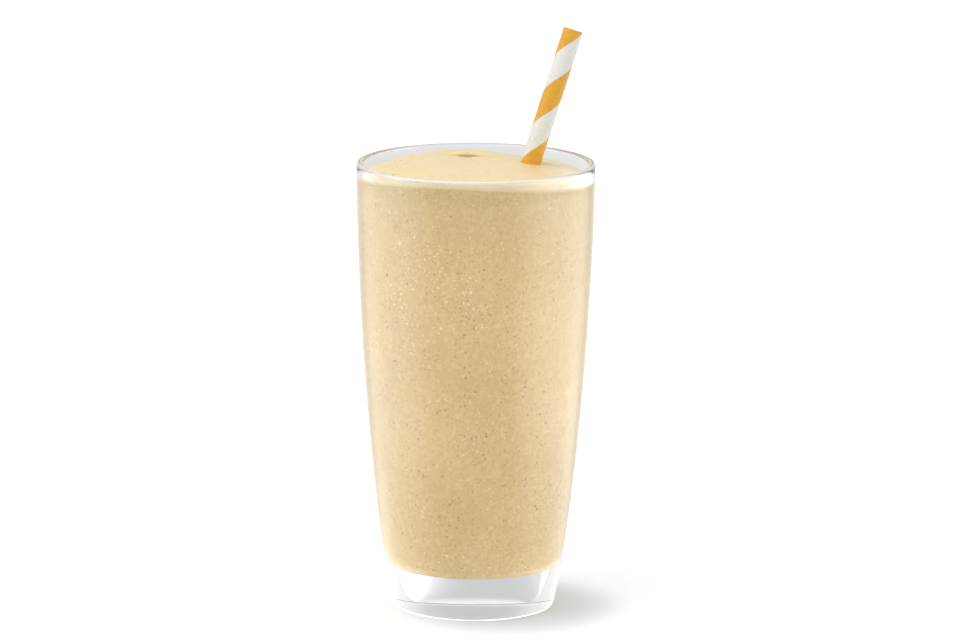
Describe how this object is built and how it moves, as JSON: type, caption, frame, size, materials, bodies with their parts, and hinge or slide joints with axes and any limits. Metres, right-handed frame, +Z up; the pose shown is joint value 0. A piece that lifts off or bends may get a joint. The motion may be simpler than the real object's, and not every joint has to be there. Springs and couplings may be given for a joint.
{
  "type": "peanut butter smoothie",
  "caption": "Tall heavy-based drinking glass filled to the brim with a peanut butter smoothie, its top softly mounded, with a striped paper straw leaning in it.",
  "frame": {"origin": "middle of the glass's foot, on the plane it stands on", "axes": "+Z up along the glass's axis; the straw leans towards +X and a little towards +Y; the side shown is seen from -Y"},
  "size_m": [0.09, 0.09, 0.2196],
  "materials": {
    "clear_glass": "gloss",
    "smoothie": "satin",
    "striped_paper": "matte"
  },
  "bodies": {
    "root": {"glass": "clear_glass", "smoothie": "smoothie", "straw": "striped_paper"}
  },
  "joints": []
}
